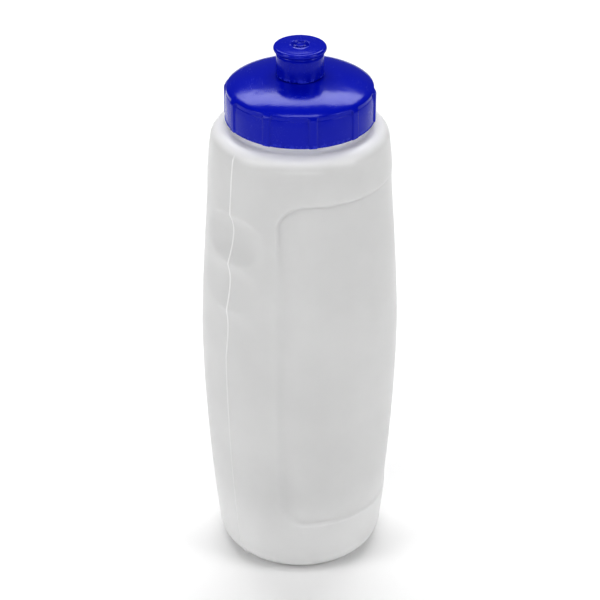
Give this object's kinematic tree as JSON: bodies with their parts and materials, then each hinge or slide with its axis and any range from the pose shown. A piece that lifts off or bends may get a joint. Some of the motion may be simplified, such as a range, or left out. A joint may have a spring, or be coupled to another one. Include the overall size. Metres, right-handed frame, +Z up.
{
  "type": "sports squeeze bottle",
  "caption": "Squeeze bottle with a barrel-shaped translucent body, finger grips, recessed label panels, a ribbed screw cap and a push-pull drinking spout.",
  "frame": {"origin": "on the ground, under the bottle's axis", "axes": "+Z up along the bottle's axis towards the spout; the front, which the label panel's left edge and the finger grips flank, faces -Y"},
  "size_m": [0.0804, 0.0802, 0.2302],
  "materials": {
    "body_plastic": "milky translucent low-density polyethylene, satin",
    "washer_foam": "white closed-cell foam",
    "cap_plastic": "royal blue polyethylene, glossy, lightly scuffed",
    "spout_plastic": "royal blue polyethylene, glossy, worn at the edges"
  },
  "bodies": {
    "bottle": {"bottle": "body_plastic"},
    "washer": {"seal_washer": "washer_foam"},
    "cap": {"cap": "cap_plastic"},
    "spout": {"spout": "spout_plastic"}
  },
  "joints": [
    {"name": "cap_lift", "type": "slide", "parent": "bottle", "child": "washer", "axis": [0, 0, 1], "range_m": [0, 0.017]},
    {"name": "cap_turn", "type": "hinge", "parent": "washer", "child": "cap", "pos_m": [0, 0, 0.21], "axis": [0, 0, 1], "range_deg": [0, 1440]},
    {"name": "spout_pull", "type": "slide", "parent": "cap", "child": "spout", "axis": [0, 0, 1], "range_m": [0, 0.0054]}
  ],
  "couplings": [
    {"joint": "cap_lift", "follows": "cap_turn", "m_per_rad": 0.0006737}
  ]
}
